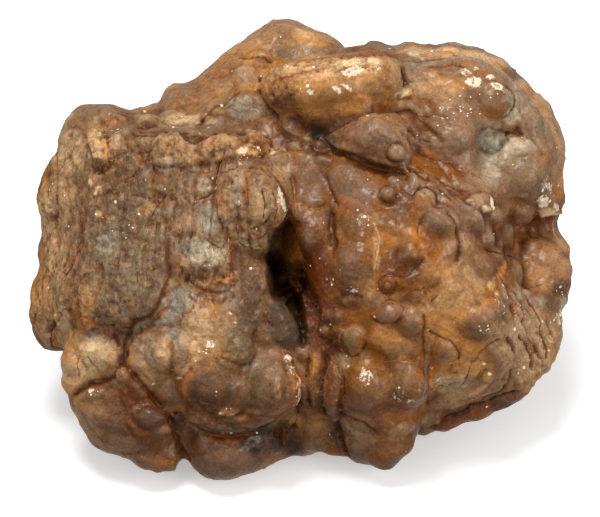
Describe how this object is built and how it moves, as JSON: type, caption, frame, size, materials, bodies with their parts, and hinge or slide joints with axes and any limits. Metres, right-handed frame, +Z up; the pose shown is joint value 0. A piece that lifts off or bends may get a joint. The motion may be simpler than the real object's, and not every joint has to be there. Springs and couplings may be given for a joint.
{
  "type": "rough chalcedony nodule",
  "caption": "Rough chalcedony nodule: a solid lump of botryoidal quartz with a fibrous block, a deep pit and a flat break to rest on.",
  "frame": {"origin": "middle of the bounding box's underside, on the flat break that the nodule rests on", "axes": "+X across the broad face, towards its right seen from in front; -Y out in front of the face; +Z up from the surface it rests on"},
  "size_m": [0.1006, 0.0758, 0.0721],
  "materials": {
    "chalcedony": "honey-amber and purple-brown grown crust with a satin shine, and dull grey-brown fibrous patches"
  },
  "bodies": {
    "root": {"chalcedony_nodule": "chalcedony"}
  },
  "joints": []
}
